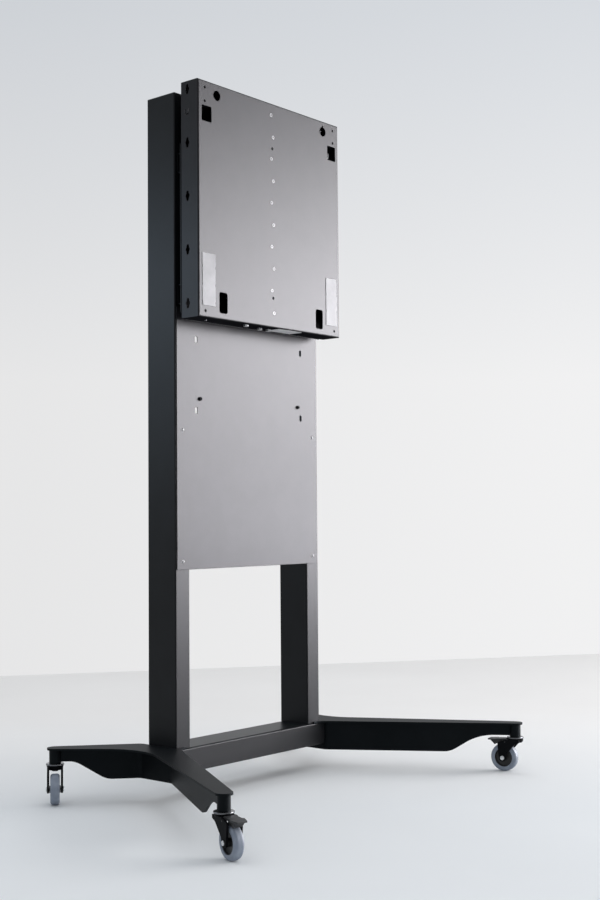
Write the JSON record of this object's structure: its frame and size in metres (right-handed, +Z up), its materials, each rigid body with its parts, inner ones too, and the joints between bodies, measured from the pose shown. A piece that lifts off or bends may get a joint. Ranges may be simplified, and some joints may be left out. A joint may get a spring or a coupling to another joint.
{
  "type": "mobile tv stand",
  "caption": "Mobile stand for a heavy display: two columns on splayed feet with casters, and a spring-balanced lift housing.",
  "frame": {"origin": "on the floor, midway between the four caster stems", "axes": "+Z up; +X to the right as seen from the front; the display faces -Y"},
  "size_m": [1.2216, 0.8439, 1.805],
  "materials": {
    "frame_paint": "fine semi-matt anthracite powder coat",
    "panel_paint": "fine semi-matt grey-black powder coat on flat sheet",
    "foot_paint": "fine semi-matt anthracite powder coat",
    "black_steel": "black coated pressed steel",
    "black_plastic": "matt moulded plastic",
    "zinc": "bright zinc plate",
    "spring_steel": "blued spring strip",
    "extrusion": "satin mill finish",
    "liner_plastic": "natural white slide liner",
    "tyre_rubber": "grey non-marking rubber",
    "black_rubber": "matt black rubber",
    "pad_film": "light grey self-adhesive pad"
  },
  "bodies": {
    "stand_frame": {"left_column": "frame_paint", "right_column": "frame_paint", "column_caps": "black_plastic", "crossbar": "frame_paint", "crossbar_cover": "frame_paint", "left_foot_web": "foot_paint", "left_foot_plate": "foot_paint", "right_foot_web": "foot_paint", "right_foot_plate": "foot_paint", "caster_sockets": "foot_paint", "cover_plate": "panel_paint", "cover_screws": "zinc", "hook_screws": "zinc", "lift_back_plate": "frame_paint", "lower_rail": "frame_paint", "upper_rail": "frame_paint", "rail_bolts": "zinc", "guide_carriage": "extrusion", "guide_liners": "liner_plastic", "carriage_riser": "frame_paint", "belt_clamp": "extrusion", "front_left_swivel_bearing": "zinc", "front_right_swivel_bearing": "zinc", "rear_left_swivel_bearing": "zinc", "rear_right_swivel_bearing": "zinc"},
    "lift_carriage": {"lift_housing": "panel_paint", "contact_pads": "pad_film", "guide_rail": "extrusion", "guide_rail_screws": "zinc", "balance_belt": "black_rubber", "spring_cassette": "black_steel", "cassette_nuts": "zinc", "cassette_cover": "black_steel", "mainspring": "spring_steel", "tensioner_channel": "black_steel", "travel_stop": "black_steel", "travel_stop_bolts": "zinc", "stop_bumper": "black_rubber"},
    "drive_wheel": {"drive_pulley": "extrusion"},
    "idler_wheel": {"idler_pulley": "extrusion"},
    "tension_block": {"tension_slider": "black_steel"},
    "tension_bolt": {"tension_screw": "zinc"},
    "front_left_swivel": {"front_left_fork": "black_steel", "front_left_axle": "zinc"},
    "front_left_wheel": {"front_left_hub": "black_plastic", "front_left_tyre": "tyre_rubber"},
    "front_left_brake": {"front_left_brake_pedal": "black_plastic"},
    "front_right_swivel": {"front_right_fork": "black_steel", "front_right_axle": "zinc"},
    "front_right_wheel": {"front_right_hub": "black_plastic", "front_right_tyre": "tyre_rubber"},
    "front_right_brake": {"front_right_brake_pedal": "black_plastic"},
    "rear_left_swivel": {"rear_left_fork": "black_steel", "rear_left_axle": "zinc"},
    "rear_left_wheel": {"rear_left_hub": "black_plastic", "rear_left_tyre": "tyre_rubber"},
    "rear_right_swivel": {"rear_right_fork": "black_steel", "rear_right_axle": "zinc"},
    "rear_right_wheel": {"rear_right_hub": "black_plastic", "rear_right_tyre": "tyre_rubber"}
  },
  "joints": [
    {"name": "lift_slide", "type": "slide", "parent": "stand_frame", "child": "lift_carriage", "axis": [0, 0, 1], "range_m": [-0.4, 0]},
    {"name": "drive_turn", "type": "hinge", "parent": "lift_carriage", "child": "drive_wheel", "pos_m": [-0.09, 0.062, 1.735], "axis": [0, 1, 0], "range_deg": [-5, 1071]},
    {"name": "tension_slide", "type": "slide", "parent": "lift_carriage", "child": "tension_block", "axis": [0, 0, 1], "range_m": [0, 0.006]},
    {"name": "tension_turn", "type": "hinge", "parent": "lift_carriage", "child": "tension_bolt", "pos_m": [-0.09, 0.0325, 1.205], "axis": [0, 0, 1], "range_deg": [-1745, 15]},
    {"name": "idler_turn", "type": "hinge", "parent": "tension_block", "child": "idler_wheel", "pos_m": [-0.09, 0.062, 1.248], "axis": [0, 1, 0], "range_deg": [-5, 1071]},
    {"name": "front_left_swivel", "type": "hinge", "parent": "stand_frame", "child": "front_left_swivel", "pos_m": [-0.5825, -0.3495, 0.09], "axis": [0, 0, 1], "continuous": true},
    {"name": "front_left_roll", "type": "hinge", "parent": "front_left_swivel", "child": "front_left_wheel", "pos_m": [-0.59171, -0.37962, 0.0375], "axis": [0.9563, -0.2924, 0], "continuous": true},
    {"name": "front_left_brake", "type": "hinge", "parent": "front_left_swivel", "child": "front_left_brake", "pos_m": [-0.58952, -0.37245, 0.081], "axis": [0.9563, -0.2924, 0], "range_deg": [0, 8]},
    {"name": "front_right_swivel", "type": "hinge", "parent": "stand_frame", "child": "front_right_swivel", "pos_m": [0.5825, -0.3495, 0.09], "axis": [0, 0, 1], "continuous": true},
    {"name": "front_right_roll", "type": "hinge", "parent": "front_right_swivel", "child": "front_right_wheel", "pos_m": [0.57595, -0.31869, 0.0375], "axis": [-0.9781, -0.2079, 0], "continuous": true},
    {"name": "front_right_brake", "type": "hinge", "parent": "front_right_swivel", "child": "front_right_brake", "pos_m": [0.57751, -0.32602, 0.081], "axis": [-0.9781, -0.2079, 0], "range_deg": [0, 8]},
    {"name": "rear_left_swivel", "type": "hinge", "parent": "stand_frame", "child": "rear_left_swivel", "pos_m": [-0.458, 0.3495, 0.09], "axis": [0, 0, 1], "continuous": true},
    {"name": "rear_left_roll", "type": "hinge", "parent": "rear_left_swivel", "child": "rear_left_wheel", "pos_m": [-0.47804, 0.32519, 0.0375], "axis": [0.7716, -0.6361, 0], "continuous": true},
    {"name": "rear_right_swivel", "type": "hinge", "parent": "stand_frame", "child": "rear_right_swivel", "pos_m": [0.458, 0.3495, 0.09], "axis": [0, 0, 1], "continuous": true},
    {"name": "rear_right_roll", "type": "hinge", "parent": "rear_right_swivel", "child": "rear_right_wheel", "pos_m": [0.45253, 0.38052, 0.0375], "axis": [-0.9848, -0.1736, 0], "continuous": true}
  ],
  "couplings": [
    {"joint": "drive_turn", "follows": "lift_slide", "rad_per_m": -46.512},
    {"joint": "idler_turn", "follows": "lift_slide", "rad_per_m": -46.512},
    {"joint": "tension_turn", "follows": "tension_slide", "rad_per_m": -5026.5}
  ]
}
